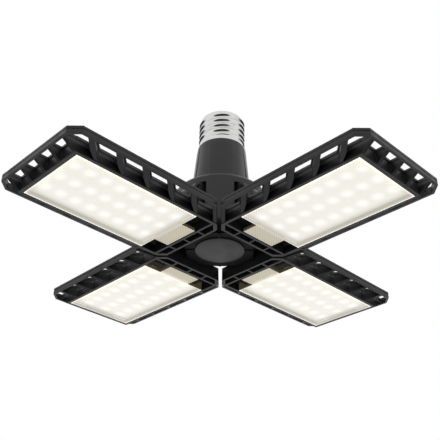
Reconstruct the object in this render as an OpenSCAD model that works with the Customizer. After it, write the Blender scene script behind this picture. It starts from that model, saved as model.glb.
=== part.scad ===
// Four-leaf ceiling light on a screw base.
// Four flat leaves tilt on friction hinges round a hub that screws into a lamp holder.
// Origin: the seat where the screw shell meets the neck. +Z up, towards the lamp holder.
// A leaf is drawn in its own frame: +X outwards, Y across, Z up from the diffuser's face.

/* [Screw base] */
// Crest diameter of the rolled thread
thread_d = 26.2; // [25.9:0.05:26.3]
// Rise of the thread in one turn
thread_pitch = 3.629; // [3.5:0.001:3.8]
// Depth of the thread, crest to root
thread_depth = 0.75; // [0.6:0.05:0.9]
// Turns of thread on the shell
thread_turns = 4.5; // [3:0.5:5]
// Thickness of the shell's metal
shell_t = 0.5; // [0.4:0.05:0.7]

/* [Hub] */
// Height from the screw shell's seat down to the diffusers
drop = 67; // [65:0.5:72]
// Diameter of the neck under the screw shell
neck_d = 27; // [26.6:0.1:28]
// Diameter of the neck where it meets the shoulder
neck_low_d = 31.2; // [30:0.1:33]
// Diameter of the hub at its shoulder
shoulder_d = 51; // [50:0.5:53]
// Diameter of the hub at its lower edge
skirt_d = 53; // [52:0.5:54]
// Width of the four flat bands down the neck and flank
band_w = 13.2; // [12:0.2:15]
// Diameter of the round cap under the hub
cap_d = 26; // [24:0.5:28]

/* [Hinges] */
// Distance from the lamp's axis to a hinge pin
hinge_u = 24; // [23.5:0.1:25]
// Height of a hinge pin above the diffuser's face
hinge_z = 25; // [24:0.1:26]
// Diameter of a hinge pin
pin_d = 3; // [2.5:0.1:4]
// Play between a pin and its bore, on the radius
pin_play = 0.05; // [0.03:0.01:0.1]
// Radius of the rounded knuckles
knuckle_r = 4.7; // [4.4:0.1:4.8]
// Thickness of each knuckle of a leaf
knuckle_t = 4.2; // [3.8:0.1:4.4]

/* [Leaf] */
// Distance from the lamp's axis to a leaf's outer end
reach = 113.3; // [111:0.1:118]
// Distance from the lamp's axis to a leaf's inner end
leaf_start = 20; // [19.8:0.1:20.4]
// Width of a leaf over its rim
leaf_w = 60.6; // [60:0.1:64]
// Thickness of a leaf
leaf_t = 7.5; // [7:0.1:8]
// Width of the lamp tray in a leaf
tray_w = 44.6; // [44:0.1:46]
// Length of the 45 degree cuts at the outer corners
corner_cut = 4.9; // [3:0.1:6]
// Depth of the rim band
rim_h = 3.6; // [3:0.1:5]
// Thickness of the rim band
rim_t = 1.3; // [1.1:0.1:2]
// Thickness of the diagonal struts at the rim
strut_t = 2.6; // [2:0.1:3]
// Thickness of the diagonal struts at the tray
strut_foot_t = 1.4; // [1:0.1:2]
// How far above the rim's lower edge a strut meets the rim
strut_rise = 0.3; // [0.1:0.1:1]
// Distance between the diagonal struts
strut_pitch = 14.45; // [14:0.05:15]

/* [Lamps] */
// Rows of lamps across a leaf
led_rows = 3; // [2:1:4]
// Columns of lamps along a leaf
led_cols = 8; // [6:1:8]
// Distance between rows
led_row_pitch = 11.35; // [9:0.05:12]
// Distance from a diffuser's end to the middle of its nearest lamps
led_edge = 5.25; // [4:0.05:7]
// Thickness of a diffuser
lens_t = 1.6; // [1.2:0.1:2]
// Thickness of a lamp board
board_t = 1.2; // [1:0.1:1.6]

/* [Hidden] */
$fn = 64;
eps = 0.01;
play = 0.2;
leaves = 4;

// Leaf: outline, tray, rim and struts.
half_w = leaf_w / 2;
tray_half = tray_w / 2;
leaf_gap = 1.4;
tray_wall = 1.5;
end_wall = 1.9;
skin_t = 1.6;
flange_t = 1.3;
ridge_t = 1.2;
ledge_t = 0.5;
rib_t = 0.9;
tray_start = leaf_start + 5;
tray_end = reach - 7.3;
ceiling_z = leaf_t - skin_t;
cell_top = ceiling_z - 0.4;
rim_low = leaf_t - rim_h;
strut_foot = 0.4;
strut_margin = 0.5;
strut_last = tray_end - 9.7;
strut_count = floor((strut_last - tray_half - leaf_gap - strut_t) / strut_pitch) + 1;
chamfer_t = 1.9;
end_struts = 5;
groove_d = 0.3;
groove_h = 0.35;

// Leaf: diffuser, lamp board and lamps.
recess_half = tray_half - tray_wall;
recess_start = tray_start + ridge_t;
recess_end = tray_end - end_wall;
lens_start = recess_start + 9.3;
lens_end = recess_end - play;
lens_half = recess_half - play;
tab_start = recess_start + 0.7;
tab_half = 10.1;
skirt_t = 1.4;
board_z = ceiling_z - board_t;
led_mid = (lens_start + lens_end) / 2;
led_col_pitch = (lens_end - lens_start - 2 * led_edge) / (led_cols - 1);
led_w = 2.8;
led_l = 3.5;
led_h = 0.7;
board_screw_d = 2;
board_screw_head = 3.6;
lead_u = tab_start + 3.3;
lead_d = 1.3;

// Hinge: knuckles, washers, pin and nut.
lug_half = 5.8;
washer_t = 0.5;
knuckle_in = lug_half + washer_t + 0.1;
knuckle_out = knuckle_in + knuckle_t;
pocket_out = knuckle_out + 1.8;
pocket_u = hinge_u - knuckle_r - 0.6;
pocket_top = hinge_z + knuckle_r + 0.9;
gusset_u = hinge_u + knuckle_r + 4;
gusset_h = 5;
sink = 1.3;
pin_half = knuckle_out - sink;
bore_d = pin_d + 2 * pin_play;
head_d = 5.6;
head_t = 1.6;
nut_d = 6.2;
nut_t = 2;

// Hub: heights from the seat of the screw shell.
skirt_z = leaf_t + 1.1 - drop;
shoulder_z = 33.5 - drop;
fillet_r = 2.5;
crown_z = shoulder_z + fillet_r;
neck_z = crown_z + 2.2;
collar_half = 19.2;
collar_diag = 17.6;
collar_z = 6.2 - drop;
cover_z = 4 - drop;
core_r = 15.2;
core_top = shoulder_z - 1;
neck_wall = 2;
spigot_h = 9;
spigot_r = thread_d / 2 - thread_depth - shell_t - 0.1;
spigot_bore = 9.5;
band_proud = 0.4;
post_r = 10.2;
post_d = 5.6;
post_h = 9;
stem_d = 4;
stem_h = 3.6;
cover_screw_d = 2.4;
cover_screw_head = 4.4;
cover_screw_head_h = 1.2;
lead_z = 12 - drop;

// Driver board and its parts, hung in rails in the neck.
pcb_half = 10;
pcb_t = 1.6;
pcb_top = -3;
pcb_low = 22.5 - drop;
rail_w = 2;
rail_low = -26;

// Screw shell, its insulator and its contact.
crest_r = thread_d / 2;
root_r = crest_r - thread_depth;
collar_h = 3.2;
thread_end = collar_h + thread_turns * thread_pitch;
roll_r = 1.2;
shell_top = thread_end + roll_r;
lip_in = root_r - 2.9;
round_steps = 48;
rise_steps = 36;
roll_steps = 5;
insulator_h = 2;
insulator_top_r = 6.6;
contact_r = 4.8;
contact_h = 2.8;
rivet_r = 2.2;

leaf_names = ["right", "back", "left", "front"];
leaf_parts = ["frame", "lamp_board", "lamps", "diffuser", "board_screws",
  "hinge_pin", "hinge_nut", "hinge_washers"];
hub_parts = ["screw_shell", "base_insulator", "centre_contact", "hub_housing", "hub_cover",
  "cover_screws", "centre_cap", "driver_board", "transformer", "smoothing_capacitors",
  "rectifier", "surge_disc", "supply_wires", "leaf_leads", "lead_plug"];

// Turns a leaf's piece to its place: 0 is right (+X), then back, left and front.
module at_leaf(i) {
  rotate([0, 0, i * 360 / leaves])
    translate([0, 0, -drop])
      children();
}

module each_way(start = 0) {
  for (i = [0 : leaves - 1])
    rotate([0, 0, start + i * 360 / leaves])
      children();
}

module both_sides() {
  children();
  mirror([0, 1, 0])
    children();
}

// Lays children, drawn as an X-Z outline, upright and centred across Y.
module upright(t) {
  translate([0, t / 2, 0])
    rotate([90, 0, 0])
      linear_extrude(t)
        children();
}

// ---- Leaf ----

// Points of a leaf's outline, moved in by d, and by a further amount along the inner cuts.
function leaf_outline(d, further = 0) = let (
  k = d * tan(22.5),
  cut = leaf_gap + (d + further) * sqrt(2)
) [
  [leaf_start + d, leaf_start + d - cut],
  [half_w - d + cut, half_w - d],
  [reach - corner_cut - k, half_w - d],
  [reach - d, half_w - corner_cut - k],
  [reach - d, -(half_w - corner_cut - k)],
  [reach - corner_cut - k, -(half_w - d)],
  [half_w - d + cut, -(half_w - d)],
  [leaf_start + d, -(leaf_start + d - cut)]
];

function strut_u(k) = strut_last - k * strut_pitch;

function end_strut_v(k) = (tray_half - tray_wall / 2) * (2 * k / (end_struts - 1) - 1);

// Plan of the tray, grown by g.
module tray_plan(g = 0) {
  intersection() {
    polygon(leaf_outline(0));
    translate([0, -tray_half - g])
      square([tray_end + g, tray_w + 2 * g]);
  }
}

// Plan of the solid strips between the flange's windows.
module strips_plan() {
  side_run = (half_w - tray_half) * sqrt(2);
  side_w = strut_t + 2 * strut_margin;
  end_w = tray_wall + strut_margin;
  both_sides()
    for (k = [0 : strut_count - 1])
      translate([strut_u(k), tray_half])
        rotate(45)
          translate([-strut_t, -side_w / 2])
            square([side_run + strut_t, side_w]);
  for (k = [0 : end_struts - 1])
    translate([tray_end - eps, end_strut_v(k) - end_w / 2])
      square([reach - tray_end - eps, end_w]);
}

module flange() {
  translate([0, 0, leaf_t - flange_t])
    linear_extrude(flange_t)
      difference() {
        polygon(leaf_outline(0));
        difference() {
          polygon(leaf_outline(rim_t));
          tray_plan(ledge_t);
          strips_plan();
        }
      }
}

module rim() {
  translate([0, 0, rim_low])
    linear_extrude(rim_h)
      difference() {
        polygon(leaf_outline(0));
        polygon(leaf_outline(rim_t));
        translate([0, -tray_half])
          square([tray_half + leaf_gap, tray_w]);
      }
}

module rim_groove() {
  translate([half_w + leaf_gap + 2, -leaf_w, leaf_t - flange_t - groove_h])
    cube([reach, 2 * leaf_w, groove_h]);
}

// One strut: its lower edge climbs from the tray's foot to the rim.
module strut(run, t) {
  upright(t)
    polygon([[-t / 2, strut_foot], [strut_foot, strut_foot], [run, rim_low + strut_rise],
      [run + t, rim_low + strut_rise], [run + t, leaf_t - eps], [-t / 2, leaf_t - eps]]);
}

// A strut that thickens from strut_foot_t at the tray to strut_t at the rim.
module side_strut(run) {
  taper = strut_t - strut_foot_t;
  difference() {
    strut(run, strut_t);
    translate([0, 0, -1])
      linear_extrude(leaf_t + 2)
        polygon([[-run / 2, strut_t / 2 - strut_foot_t + taper], [run, -strut_t / 2 - taper],
          [-run / 2, -strut_t / 2 - taper]]);
  }
}

module struts() {
  run = (half_w - tray_half - rim_t) * sqrt(2);
  intersection() {
    linear_extrude(leaf_t)
      polygon(leaf_outline(groove_d / 2));
    union() {
      both_sides() {
        for (k = [0 : strut_count - 1])
          translate([strut_u(k), tray_half, 0])
            rotate([0, 0, 45])
              side_strut(run);
        translate([tray_half + leaf_gap + chamfer_t / sqrt(2), tray_half, 0])
          rotate([0, 0, 45])
            strut(run, chamfer_t);
      }
      for (k = [0 : end_struts - 1])
        translate([tray_end, end_strut_v(k), 0])
          strut(reach - tray_end - rim_t, tray_wall);
    }
  }
}

// The row of small open cells between the two ridges at a tray's inner end.
module inner_cells() {
  translate([0, 0, -eps])
    linear_extrude(cell_top)
      difference() {
        intersection() {
          polygon(leaf_outline(ridge_t, chamfer_t - ridge_t));
          translate([0, -tray_half])
            square([tray_start, tray_w]);
        }
        for (v = [-tab_half - rib_t, -rib_t / 2, tab_half])
          translate([leaf_start, v])
            square([tray_start, rib_t]);
      }
}

module recess() {
  translate([recess_start, -recess_half, -eps])
    cube([recess_end - recess_start, 2 * recess_half, ceiling_z + eps]);
}

// One of the two arms that carry a leaf, standing up from its top.
module knuckle() {
  translate([0, knuckle_in + knuckle_t / 2, 0])
    difference() {
      upright(knuckle_t)
        difference() {
          union() {
            polygon([[leaf_start, leaf_t - eps], [gusset_u, leaf_t - eps],
              [hinge_u + knuckle_r, leaf_t + gusset_h], [hinge_u + knuckle_r, hinge_z],
              [hinge_u - knuckle_r, hinge_z], [hinge_u - knuckle_r, leaf_t + gusset_h],
              [leaf_start, leaf_t + gusset_h - 1.5]]);
            translate([hinge_u, hinge_z])
              circle(knuckle_r);
          }
          translate([hinge_u, hinge_z])
            circle(d = bore_d);
        }
      translate([hinge_u, knuckle_t / 2 - sink, hinge_z])
        rotate([-90, 0, 0])
          cylinder(h = sink + 1, d = nut_d + 2 * play);
    }
}

function board_screw_spots() = [
  for (u = [-2, 2]) for (v = [-0.5, 0.5]) [led_mid + u * led_col_pitch, v * led_row_pitch]
];

module leaf_frame() {
  color([0.13, 0.13, 0.135])
    difference() {
      union() {
        linear_extrude(leaf_t)
          tray_plan();
        flange();
        rim();
        struts();
        both_sides()
          knuckle();
      }
      recess();
      inner_cells();
      difference() {
        rim_groove();
        linear_extrude(leaf_t)
          polygon(leaf_outline(groove_d));
      }
      for (p = board_screw_spots())
        translate([p[0], p[1], ceiling_z - eps])
          cylinder(h = skin_t - 0.5, d = board_screw_d + 0.1);
      translate([lead_u, 0, ceiling_z - 1])
        cylinder(h = skin_t + 2, d = 3 * lead_d);
    }
}

module lamp_board() {
  color([0.9, 0.9, 0.88])
    translate([0, 0, board_z])
      linear_extrude(board_t)
        difference() {
          union() {
            translate([lens_start, -lens_half])
              square([lens_end - lens_start, 2 * lens_half]);
            translate([lead_u + 2 * lead_d, 2 - tab_half])
              square([lens_start - lead_u, 2 * (tab_half - 2)]);
          }
          for (p = board_screw_spots())
            translate(p)
              circle(d = board_screw_d + 0.1);
        }
}

module lamps() {
  color([1, 0.95, 0.75])
    for (c = [0 : led_cols - 1])
      for (r = [0 : led_rows - 1])
        translate([led_mid + (c - (led_cols - 1) / 2) * led_col_pitch,
          (r - (led_rows - 1) / 2) * led_row_pitch, board_z - led_h / 2])
          cube([led_w, led_l, led_h], center = true);
}

module diffuser() {
  color([0.95, 0.95, 0.9, 0.8]) {
    linear_extrude(lens_t) {
      translate([lens_start, -lens_half])
        square([lens_end - lens_start, 2 * lens_half]);
      translate([tab_start, -tab_half])
        square([lens_start - tab_start + eps, 2 * tab_half]);
    }
    both_sides()
      translate([lens_start, lens_half - skirt_t, lens_t - eps])
        cube([lens_end - lens_start, skirt_t, board_z - lens_t + eps]);
  }
}

module board_screws() {
  color([0.75, 0.75, 0.74])
    for (p = board_screw_spots())
      translate([p[0], p[1], board_z]) {
        translate([0, 0, -1.2])
          cylinder(h = 1.2, d1 = board_screw_head - 1, d2 = board_screw_head);
        translate([0, 0, -eps])
          cylinder(h = board_t + 0.9, d = board_screw_d);
      }
}

module hinge_pin() {
  color([0.16, 0.16, 0.165])
    translate([hinge_u, 0, hinge_z])
      rotate([90, 0, 0]) {
        translate([0, 0, -pin_half - nut_t])
          cylinder(h = 2 * pin_half + nut_t, d = pin_d);
        translate([0, 0, pin_half])
          cylinder(h = head_t, d = head_d);
      }
}

module hinge_nut() {
  color([0.16, 0.16, 0.165])
    translate([hinge_u, pin_half, hinge_z])
      rotate([-90, 0, 0])
        difference() {
          cylinder(h = nut_t, d = nut_d, $fn = 6);
          translate([0, 0, -1])
            cylinder(h = nut_t + 2, d = bore_d);
        }
}

module hinge_washers() {
  color([0.55, 0.5, 0.4])
    both_sides()
      translate([hinge_u, knuckle_in, hinge_z])
        rotate([90, 0, 0])
          difference() {
            cylinder(h = washer_t, r = knuckle_r - 0.3);
            translate([0, 0, -1])
              cylinder(h = washer_t + 2, d = bore_d);
          }
}

// ---- Hub ----

// Half outline of the hub from its lower edge up to the neck's top, grown by g.
function hub_side(g) = concat(
  [[skirt_d / 2 + g, skirt_z]],
  [for (a = [0 : 15 : 90]) [shoulder_d / 2 - fillet_r + (fillet_r + g) * cos(a),
    shoulder_z + fillet_r * sin(a)]],
  [[neck_low_d / 2 + 1.6 + g, neck_z - 0.8], [neck_low_d / 2 + g, neck_z + 1.2]]
);

module hub_outside() {
  rotate_extrude()
    polygon(concat([[0, skirt_z]], hub_side(0), [[neck_d / 2, 0], [spigot_r, 0],
      [spigot_r, spigot_h], [0, spigot_h]]));
}

// The raised bands that run down the neck, over the shoulder and down the flank.
module bands() {
  intersection() {
    rotate_extrude()
      polygon(concat([[0, skirt_z]], hub_side(band_proud),
        [[neck_d / 2 + band_proud, -3], [neck_d / 2, 0], [0, 0]]));
    for (turn = [45, 135])
      rotate([0, 0, turn])
        translate([-skirt_d, -band_w / 2, skirt_z - 1])
          cube([2 * skirt_d, band_w, drop]);
  }
}

module collar_plan() {
  intersection() {
    square(2 * collar_half, center = true);
    rotate(45)
      square(2 * collar_diag, center = true);
  }
}

// The hollow inside: a round core, the neck and the spigot's bore.
module hub_inside() {
  rotate_extrude()
    polygon([[0, collar_z - 1], [core_r, collar_z - 1], [core_r, core_top],
      [neck_low_d / 2 - neck_wall, core_top + 1], [neck_low_d / 2 - neck_wall, neck_z],
      [neck_d / 2 - neck_wall, -2], [spigot_bore, 0], [spigot_bore, spigot_h + 1],
      [0, spigot_h + 1]]);
}

module rails() {
  for (side = [-1, 1])
    translate([side * (pcb_half + 2), 0, (rail_low - 1.5) / 2])
      cube([6, pcb_t + 2 * rail_w, -rail_low - 1.5], center = true);
}

module posts() {
  each_way(45)
    translate([post_r, 0, collar_z]) {
      cylinder(h = post_h, d = post_d);
      translate([0, -1, 0])
        cube([core_r - post_r + 1, 2, post_h]);
    }
}

module hinge_pocket() {
  translate([pocket_u, lug_half, skirt_z - 1])
    cube([skirt_d, pocket_out - lug_half, pocket_top - leaf_t - 1.1 + 1]);
}

module hub_housing() {
  color([0.24, 0.24, 0.245])
    difference() {
      union() {
        difference() {
          union() {
            hub_outside();
            bands();
          }
          each_way()
            both_sides()
              hinge_pocket();
        }
        translate([0, 0, collar_z])
          linear_extrude(skirt_z - collar_z + eps)
            collar_plan();
        each_way()
          translate([hinge_u, 0, hinge_z - drop])
            rotate([90, 0, 0])
              cylinder(h = 2 * lug_half, r = knuckle_r, center = true);
      }
      difference() {
        hub_inside();
        rails();
        posts();
      }
      translate([-pcb_half - 0.1, -pcb_t / 2 - 0.05, pcb_low])
        cube([2 * pcb_half + 0.2, pcb_t + 0.1, pcb_top - pcb_low]);
      each_way()
        translate([hinge_u, 0, hinge_z - drop])
          rotate([90, 0, 0])
            cylinder(h = 2 * lug_half + 2, d = bore_d, center = true);
      each_way()
        translate([core_r - 2, 0, lead_z])
          rotate([0, 90, 0])
            cylinder(h = skirt_d, d = 3 * lead_d);
      each_way(45)
        translate([post_r, 0, collar_z - 1])
          cylinder(h = post_h - 1, d = cover_screw_d + 0.1);
    }
}

module hub_cover() {
  seam_w = 0.9;
  seam_h = 0.5;
  color([0.06, 0.06, 0.065])
    difference() {
      union() {
        translate([0, 0, cover_z])
          linear_extrude(collar_z - cover_z)
            collar_plan();
        each_way(45)
          translate([cap_d / 2 + play, -seam_w / 2, cover_z - seam_h])
            cube([collar_diag - cap_d / 2 - play, seam_w, seam_h + 1]);
      }
      translate([0, 0, cover_z - 1])
        cylinder(h = 5, d = stem_d + 0.3);
      each_way(45) {
        translate([post_r, 0, cover_z - 1])
          cylinder(h = 5, d = cover_screw_d + 0.3);
        translate([post_r, 0, cover_z - 1])
          cylinder(h = cover_screw_head_h + 1.2, d = cover_screw_head + 2 * play);
      }
    }
}

module cover_screws() {
  color([0.7, 0.7, 0.7])
    each_way(45)
      translate([post_r, 0, cover_z + 0.15]) {
        cylinder(h = cover_screw_head_h, d = cover_screw_head);
        cylinder(h = post_h - 1, d = cover_screw_d);
      }
}

// A shallow dome with a snap stem through the cover.
module centre_cap() {
  edge_t = 0.5;
  dome_h = 0.8;
  rim_z = cover_z - edge_t;
  cap_r = cap_d / 2;
  color([0.27, 0.27, 0.275]) {
    rotate_extrude()
      polygon(concat([[0, cover_z], [cap_r, cover_z]],
        [for (a = [0 : 10 : 90]) [cap_r * cos(a), rim_z - dome_h * sin(a)]]));
    translate([0, 0, cover_z - eps])
      cylinder(h = stem_h, d = stem_d);
  }
}

module driver_board() {
  color([0.1, 0.3, 0.16])
    translate([-pcb_half, -pcb_t / 2, pcb_low])
      cube([2 * pcb_half, pcb_t, pcb_top - 0.1 - pcb_low]);
}

module on_board(x, z, side = 1) {
  rotate([0, 0, side > 0 ? 0 : 180])
    translate([x, pcb_t / 2, z])
      children();
}

module transformer() {
  core = [12, 6.5, 12];
  leg = 3;
  color([0.32, 0.3, 0.28])
    on_board(0, -34) {
      translate([-core[0] / 2, 0, -core[2] / 2])
        cube([core[0], core[1], leg]);
      translate([-core[0] / 2, 0, core[2] / 2 - leg])
        cube([core[0], core[1], leg]);
      translate([-core[0] / 2 + 1, 0, -core[2] / 2 + leg - eps])
        cube([core[0] - 2, core[1] + 1.2, core[2] - 2 * leg + 2 * eps]);
    }
}

module smoothing_capacitors() {
  gap = 0.1;
  color([0.12, 0.14, 0.3]) {
    on_board(0, -20)
      translate([0, 4 + gap, 0])
        cylinder(h = 12, r = 4);
    on_board(0, -22, -1)
      translate([0, 3 + gap, 0])
        cylinder(h = 8, r = 3);
  }
}

module rectifier() {
  color([0.1, 0.1, 0.1])
    on_board(0, -32, -1)
      translate([-3, 0, 0])
        cube([6, 2.4, 5]);
}

module surge_disc() {
  color([0.15, 0.3, 0.5])
    on_board(0, -9, -1)
      rotate([-90, 0, 0])
        cylinder(h = 2.2, r = 3);
}

module supply_wires() {
  wire_r = 0.6;
  wire_x = 6;
  wire_low = -6;
  y = pcb_t / 2 + wire_r + 0.02;
  reach_x = root_r - shell_t - 0.4;
  bend_z = spigot_h + 2.5;
  color([0.75, 0.73, 0.7]) {
    translate([0, y, wire_low])
      cylinder(h = shell_top - 1.3 - wire_low, r = wire_r);
    translate([wire_x, y, wire_low])
      cylinder(h = bend_z - wire_low, r = wire_r);
    translate([wire_x, y, bend_z])
      sphere(wire_r);
    translate([wire_x, y, bend_z])
      rotate([0, 90, 0])
        cylinder(h = reach_x - wire_x, r = wire_r);
  }
}

// Pairs of leads from the plug on the board out to the holes beside each hinge.
module leaf_leads() {
  r = lead_d / 2;
  bend_u = 3;
  color([0.6, 0.12, 0.1])
    each_way()
      for (v = [-0.72, 0.72])
        translate([0, v, 0]) {
          translate([bend_u, 0, lead_z])
            cylinder(h = pcb_low - 4.5 - lead_z, r = r);
          translate([bend_u, 0, lead_z])
            sphere(r);
          translate([bend_u, 0, lead_z])
            rotate([0, 90, 0])
              cylinder(h = skirt_d / 2 - 2 - bend_u, r = r);
        }
}

module lead_plug() {
  color([0.85, 0.84, 0.8])
    difference() {
      translate([-8, -4.5, pcb_low - 4.5])
        cube([16, 9, 6]);
      translate([-9, -pcb_t / 2 - 0.05, pcb_low - 0.1])
        cube([18, pcb_t + 0.1, 3]);
    }
}

// ---- Screw base ----

// How far the thread has come in at height z: 0 on the collar, 1 along the thread.
function thread_in(z) = max(0, min(1, (z - collar_h) / 1.2, (thread_end - z) / 1.2));

function shell_r(z, a) =
  root_r + thread_depth * thread_in(z) * (1 + cos(360 * z / thread_pitch - a)) / 2;

// Rings of the rolled shell: up the outside, over the rolled lip and down the inside.
module screw_shell() {
  rise = thread_end / rise_steps;
  lip_t = shell_t;
  outside = [for (j = [0 : rise_steps]) [j * rise, 0]];
  function wall(j, cut) = [for (i = [0 : round_steps - 1])
    let (a = i * 360 / round_steps, r = shell_r(j * rise, a) - cut)
      [r * cos(a), r * sin(a), j * rise]];
  function ring(r, z) = [for (i = [0 : round_steps - 1])
    let (a = i * 360 / round_steps) [r * cos(a), r * sin(a), z]];
  roll_out = [for (s = [1 : roll_steps]) let (a = s * 90 / roll_steps)
    [root_r - roll_r * (1 - cos(a)), thread_end + roll_r * sin(a)]];
  roll_in = [for (s = [roll_steps : -1 : 1]) let (a = s * 90 / roll_steps)
    [root_r - roll_r + (roll_r - lip_t) * cos(a), thread_end + (roll_r - lip_t) * sin(a)]];
  points = concat(
    [for (j = [0 : rise_steps]) each wall(j, 0)],
    [for (p = roll_out) each ring(p[0], p[1])],
    ring(lip_in, shell_top),
    ring(lip_in, shell_top - lip_t),
    [for (p = roll_in) each ring(p[0], p[1])],
    [for (j = [rise_steps : -1 : 0]) each wall(j, shell_t)]
  );
  rings = len(points) / round_steps;
  faces = [for (j = [0 : rings - 1]) for (i = [0 : round_steps - 1])
    let (n = (i + 1) % round_steps, up = ((j + 1) % rings) * round_steps, at = j * round_steps)
      each [[at + i, up + i, up + n], [at + i, up + n, at + n]]];
  color([0.8, 0.79, 0.76])
    polyhedron(points = points, faces = faces, convexity = 6);
}

module base_insulator() {
  color([0.05, 0.05, 0.06])
    difference() {
      rotate_extrude()
        polygon([[0, shell_top - 2.4], [root_r - roll_r - 0.2, shell_top - 2.4],
          [root_r - roll_r - 0.2, shell_top - shell_t - 0.15],
          [lip_in - 0.1, shell_top - shell_t - 0.15], [lip_in - 0.1, shell_top + 0.1],
          [lip_in - 0.5, shell_top + 0.4], [insulator_top_r, shell_top + insulator_h],
          [0, shell_top + insulator_h]]);
      translate([0, 0, shell_top - 3])
        cylinder(h = insulator_h + 4, r = rivet_r + 0.1);
    }
}

module centre_contact() {
  z = shell_top + insulator_h;
  color([0.7, 0.68, 0.62]) {
    rotate_extrude()
      polygon(concat([[0, z], [contact_r, z], [contact_r, z + 0.5]],
        [for (a = [15 : 15 : 90]) [contact_r - 1.6 + 1.6 * cos(a) - 1.2 * (1 - cos(a)),
          z + 0.5 + (contact_h - 0.5) * sin(a)]], [[0, z + contact_h]]));
    translate([0, 0, shell_top - 1.3])
      cylinder(h = insulator_h + 1.3 + eps, r = rivet_r);
  }
}

module leaf_part(i, part) {
  at_leaf(i) {
    if (part == "frame") leaf_frame();
    if (part == "lamp_board") lamp_board();
    if (part == "lamps") lamps();
    if (part == "diffuser") diffuser();
    if (part == "board_screws") board_screws();
    if (part == "hinge_pin") hinge_pin();
    if (part == "hinge_nut") hinge_nut();
    if (part == "hinge_washers") hinge_washers();
  }
}

screw_shell();
base_insulator();
centre_contact();
hub_housing();
hub_cover();
cover_screws();
centre_cap();
driver_board();
transformer();
smoothing_capacitors();
rectifier();
surge_disc();
supply_wires();
leaf_leads();
lead_plug();
for (i = [0 : leaves - 1])
  for (part = leaf_parts)
    leaf_part(i, part);
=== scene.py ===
import math

import bmesh
import bpy
from mathutils import Matrix, Vector


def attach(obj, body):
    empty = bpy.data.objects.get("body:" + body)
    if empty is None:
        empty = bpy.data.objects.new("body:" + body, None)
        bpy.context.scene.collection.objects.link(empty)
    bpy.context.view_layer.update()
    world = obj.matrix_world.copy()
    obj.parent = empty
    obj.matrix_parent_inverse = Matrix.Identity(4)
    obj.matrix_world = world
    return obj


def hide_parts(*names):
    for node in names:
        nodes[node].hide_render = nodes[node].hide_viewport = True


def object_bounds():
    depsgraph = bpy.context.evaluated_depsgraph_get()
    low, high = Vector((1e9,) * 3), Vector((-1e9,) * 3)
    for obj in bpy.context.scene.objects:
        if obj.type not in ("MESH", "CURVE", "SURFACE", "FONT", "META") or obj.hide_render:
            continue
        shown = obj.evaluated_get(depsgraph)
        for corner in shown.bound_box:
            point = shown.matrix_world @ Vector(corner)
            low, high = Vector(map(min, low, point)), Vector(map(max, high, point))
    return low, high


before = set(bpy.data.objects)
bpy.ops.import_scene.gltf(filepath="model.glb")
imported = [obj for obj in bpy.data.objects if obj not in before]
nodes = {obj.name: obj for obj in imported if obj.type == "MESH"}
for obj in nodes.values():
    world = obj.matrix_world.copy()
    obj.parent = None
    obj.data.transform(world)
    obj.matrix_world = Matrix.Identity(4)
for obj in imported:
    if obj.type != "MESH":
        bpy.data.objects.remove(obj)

cadBox = [list(c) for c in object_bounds()]
scene = bpy.context.scene
scene.view_settings.view_transform = "Standard"
leafNames = ("right", "back", "left", "front")
perMetre = 1000.0
white = (1.0, 1.0, 1.0)
print("frame loaded:", len(nodes), "nodes")


def mm(*values):
    scaled = tuple(v / perMetre for v in values)
    return scaled[0] if len(scaled) == 1 else scaled


def perLeaf(piece):
    return [f"{leaf}_{piece}" for leaf in leafNames]


def towards(azimuth, elevation):
    # azimuth from +X towards +Y, in degrees
    a, e = math.radians(azimuth), math.radians(elevation)
    return Vector((math.cos(a) * math.cos(e), math.sin(a) * math.cos(e), math.sin(e)))


def addNode(tree, kind, at=(0, 0), **settings):
    node = tree.nodes.new(kind)
    node.location = at
    for name, value in settings.items():
        setattr(node, name, value)
    return node


def feed(tree, socket, value):
    # a number, a colour or another node's output
    if isinstance(value, (int, float)):
        socket.default_value = value
    elif isinstance(value, tuple):
        socket.default_value = (*value, 1.0) if len(value) == 3 else value
    else:
        tree.links.new(value, socket)


def setValues(node, **values):
    for name, value in values.items():
        node.inputs[name.replace("_", " ")].default_value = value


def connect(tree, sockets, **values):
    for name, value in values.items():
        tree.links.new(value, sockets[name.replace("_", " ")])


def mathNode(tree, operation, *values, at=(0, 0), clamp=False):
    node = addNode(tree, "ShaderNodeMath", at, operation=operation, use_clamp=clamp)
    for socket, value in zip(node.inputs, values):
        feed(tree, socket, value)
    return node.outputs[0]


def ramp(tree, value, low, high, outLow=0.0, outHigh=1.0, at=(0, 0), kind="SMOOTHSTEP"):
    node = addNode(tree, "ShaderNodeMapRange", at, interpolation_type=kind)
    for name, given in (("Value", value), ("From Min", low), ("From Max", high),
                        ("To Min", outLow), ("To Max", outHigh)):
        feed(tree, node.inputs[name], given)
    return node.outputs["Result"]


def mixColor(tree, factor, first, second, at=(0, 0)):
    # the mix node has its colours at sockets 6 and 7, its numbers at 2 and 3
    node = addNode(tree, "ShaderNodeMix", at, data_type="RGBA")
    for i, value in ((0, factor), (6, first), (7, second)):
        feed(tree, node.inputs[i], value)
    return node.outputs[2]


def mixNumber(tree, factor, first, second, at=(0, 0)):
    node = addNode(tree, "ShaderNodeMix", at, data_type="FLOAT")
    for i, value in ((0, factor), (2, first), (3, second)):
        feed(tree, node.inputs[i], value)
    return node.outputs[0]


def scaleColor(tree, color, factor, at=(0, 0)):
    node = addNode(tree, "ShaderNodeVectorMath", at, operation="SCALE")
    tree.links.new(color, node.inputs[0])
    tree.links.new(factor, node.inputs["Scale"])
    return node.outputs["Vector"]


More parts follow.
